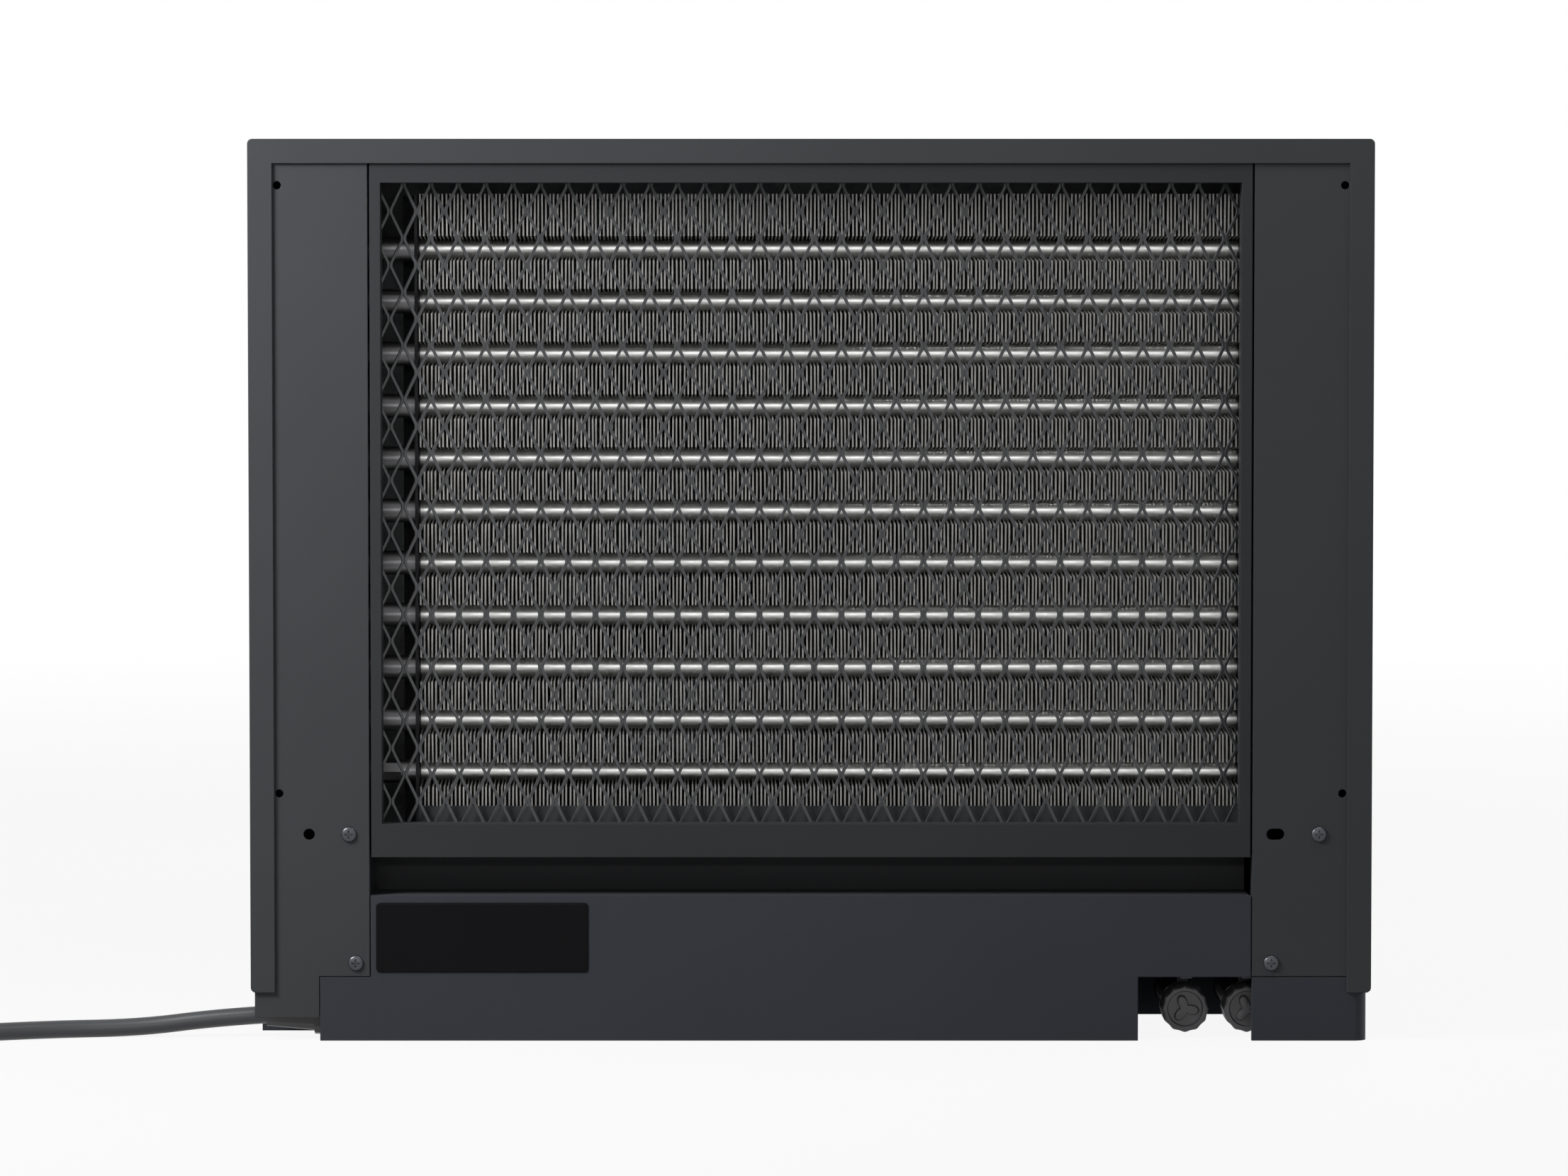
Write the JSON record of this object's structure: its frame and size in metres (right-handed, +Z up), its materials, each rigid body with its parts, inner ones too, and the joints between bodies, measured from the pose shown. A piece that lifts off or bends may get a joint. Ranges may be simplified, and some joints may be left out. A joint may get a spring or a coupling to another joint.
{
  "type": "rack-mounted air conditioner",
  "caption": "Black rack-mounted air conditioner with a mesh-guarded condenser face, drain caps, a mains lead, and a rear panel with supply vanes and a return door.",
  "frame": {"origin": "middle of the underside of the base pan, cord left out", "axes": "+Z up, +X to the right of the mesh face, -Y out of the mesh face, +Y out of the supply side"},
  "size_m": [0.6515, 0.6539, 0.352],
  "materials": {
    "black_paint": "satin",
    "zinc_steel": "satin",
    "galvanised_steel": "satin",
    "fin_aluminium": "satin",
    "copper_tube": "satin",
    "motor_paint": "gloss",
    "can_aluminium": "satin",
    "black_plastic": "matte",
    "button_plastic": "matte",
    "smoked_window": "gloss",
    "black_rubber": "matte",
    "cord_jacket": "matte",
    "white_foam": "matte",
    "board_laminate": "satin",
    "filter_pad": "matte"
  },
  "bodies": {
    "main": {"base_pan": "black_paint", "cover": "black_paint", "left_post": "black_paint", "right_post": "black_paint", "grille_frame": "black_paint", "guard_mesh": "black_paint", "slot_channel": "black_paint", "post_screws": "zinc_steel", "condenser_fins": "fin_aluminium", "condenser_tube": "copper_tube", "condenser_end_plates": "galvanised_steel", "fan_shroud": "black_plastic", "fan_motor": "motor_paint", "motor_saddle": "galvanised_steel", "bulkhead": "galvanised_steel", "compressor": "motor_paint", "compressor_grommets": "black_rubber", "compressor_studs": "zinc_steel", "terminal_cover": "black_plastic", "accumulator": "motor_paint", "discharge_line": "copper_tube", "suction_line": "copper_tube", "liquid_line": "copper_tube", "filter_drier": "copper_tube", "capillary": "copper_tube", "blower_housing": "white_foam", "supply_duct": "white_foam", "condensate_tray": "black_plastic", "evaporator_fins": "fin_aluminium", "evaporator_tube": "copper_tube", "evaporator_end_plates": "galvanised_steel", "control_box": "galvanised_steel", "run_capacitor": "can_aluminium", "control_board": "board_laminate", "rear_panel": "black_plastic", "return_filter": "filter_pad", "display_window": "smoked_window", "drain_spouts": "black_plastic", "cap_straps": "black_rubber", "cord_gland": "black_rubber", "power_cord": "cord_jacket", "cord_coil": "cord_jacket", "cord_tail": "cord_jacket", "cord_tie": "black_rubber", "plug": "cord_jacket"},
    "rotor": {"motor_shaft": "zinc_steel", "condenser_fan": "black_plastic", "blower_wheel": "black_plastic"},
    "door": {"return_door": "black_plastic"},
    "link": {"vane_link": "black_plastic"},
    "vane_1": {"supply_vane_1": "black_plastic"},
    "vane_2": {"supply_vane_2": "black_plastic"},
    "vane_3": {"supply_vane_3": "black_plastic"},
    "button_1": {"push_button_1": "button_plastic"},
    "button_2": {"push_button_2": "button_plastic"},
    "button_3": {"push_button_3": "button_plastic"},
    "button_4": {"push_button_4": "button_plastic"},
    "cap_1": {"drain_cap_1": "black_plastic"},
    "cap_2": {"drain_cap_2": "black_plastic"}
  },
  "joints": [
    {"name": "fan_turn", "type": "hinge", "parent": "main", "child": "rotor", "pos_m": [0, -0.15, 0.205], "axis": [0, 1, 0], "continuous": true},
    {"name": "door_drop", "type": "hinge", "parent": "main", "child": "door", "pos_m": [0, 0.313, 0.0483], "axis": [-1, 0, 0], "range_deg": [0, 80]},
    {"name": "vane_1_tilt", "type": "hinge", "parent": "main", "child": "vane_1", "pos_m": [0, 0.3105, 0.2955], "axis": [1, 0, 0], "range_deg": [-35, 35]},
    {"name": "vane_2_tilt", "type": "hinge", "parent": "main", "child": "vane_2", "pos_m": [0, 0.3105, 0.31], "axis": [1, 0, 0], "range_deg": [-35, 35]},
    {"name": "vane_3_tilt", "type": "hinge", "parent": "main", "child": "vane_3", "pos_m": [0, 0.3105, 0.3245], "axis": [1, 0, 0], "range_deg": [-35, 35]},
    {"name": "link_swing", "type": "hinge", "parent": "vane_1", "child": "link", "pos_m": [0.121, 0.306, 0.2955], "axis": [1, 0, 0], "range_deg": [-35, 35]},
    {"name": "button_1_press", "type": "slide", "parent": "main", "child": "button_1", "axis": [0, -1, 0], "range_m": [0, 0.0015], "stiffness_N_per_m": 900},
    {"name": "button_2_press", "type": "slide", "parent": "main", "child": "button_2", "axis": [0, -1, 0], "range_m": [0, 0.0015], "stiffness_N_per_m": 900},
    {"name": "button_3_press", "type": "slide", "parent": "main", "child": "button_3", "axis": [0, -1, 0], "range_m": [0, 0.0015], "stiffness_N_per_m": 900},
    {"name": "button_4_press", "type": "slide", "parent": "main", "child": "button_4", "axis": [0, -1, 0], "range_m": [0, 0.0015], "stiffness_N_per_m": 900},
    {"name": "cap_1_turn", "type": "hinge", "parent": "main", "child": "cap_1", "pos_m": [0.1472, -0.3, 0.0112], "axis": [0, 1, 0], "range_deg": [-180, 180]},
    {"name": "cap_2_turn", "type": "hinge", "parent": "main", "child": "cap_2", "pos_m": [0.1715, -0.3, 0.0112], "axis": [0, 1, 0], "range_deg": [-180, 180]}
  ],
  "couplings": [
    {"joint": "vane_2_tilt", "follows": "vane_1_tilt", "ratio": 1},
    {"joint": "vane_3_tilt", "follows": "vane_1_tilt", "ratio": 1},
    {"joint": "link_swing", "follows": "vane_1_tilt", "ratio": -1}
  ]
}
